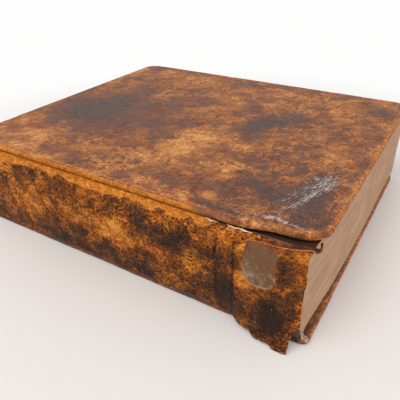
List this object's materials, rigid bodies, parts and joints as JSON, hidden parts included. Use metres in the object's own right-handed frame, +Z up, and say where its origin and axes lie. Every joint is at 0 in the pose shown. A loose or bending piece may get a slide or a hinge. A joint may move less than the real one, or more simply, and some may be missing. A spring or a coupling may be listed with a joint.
{
  "type": "antique leather-bound book",
  "caption": "Thick leather-bound book lying flat, with a rounded torn spine and hinged front and back covers.",
  "frame": {"origin": "middle of the back cover's outside, where the closed book rests on a table", "axes": "+Z up through the book from the back cover to the front cover, +Y along the spine from tail to head, +X from the spine to the fore-edge"},
  "size_m": [0.2442, 0.273, 0.07],
  "materials": {
    "leaf_paper": "aged trimmed leaf edges",
    "lining_paper": "aged laid paper",
    "spine_calf": "rubbed calf with dark crusts",
    "cover_calf": "stained and rubbed calf",
    "torn_leather": "torn and curled",
    "label_paper": "worn and soiled",
    "hemp_cord": "twisted cord",
    "linen_thread": "frayed thread",
    "pasteboard": "layered board"
  },
  "bodies": {
    "block": {"text_block": "leaf_paper", "spine_lining": "lining_paper", "spine_leather": "spine_calf", "joint_strip": "torn_leather", "label_remnant": "label_paper", "sewing_cord_1": "hemp_cord", "sewing_cord_2": "hemp_cord", "sewing_cord_3": "hemp_cord", "sewing_cord_4": "hemp_cord", "sewing_cord_5": "hemp_cord", "head_endband": "hemp_cord", "tail_threads": "linen_thread"},
    "front_cover": {"front_board": "pasteboard", "front_leather": "cover_calf", "front_lining": "lining_paper"},
    "back_cover": {"back_board": "pasteboard", "back_leather": "cover_calf", "back_lining": "lining_paper"}
  },
  "joints": [
    {"name": "front_cover_hinge", "type": "hinge", "parent": "block", "child": "front_cover", "pos_m": [-0.1141, 0, 0.0676], "axis": [0, -1, 0], "range_deg": [0, 180]},
    {"name": "back_cover_hinge", "type": "hinge", "parent": "block", "child": "back_cover", "pos_m": [-0.1141, 0, 0.0024], "axis": [0, 1, 0], "range_deg": [0, 155]}
  ]
}
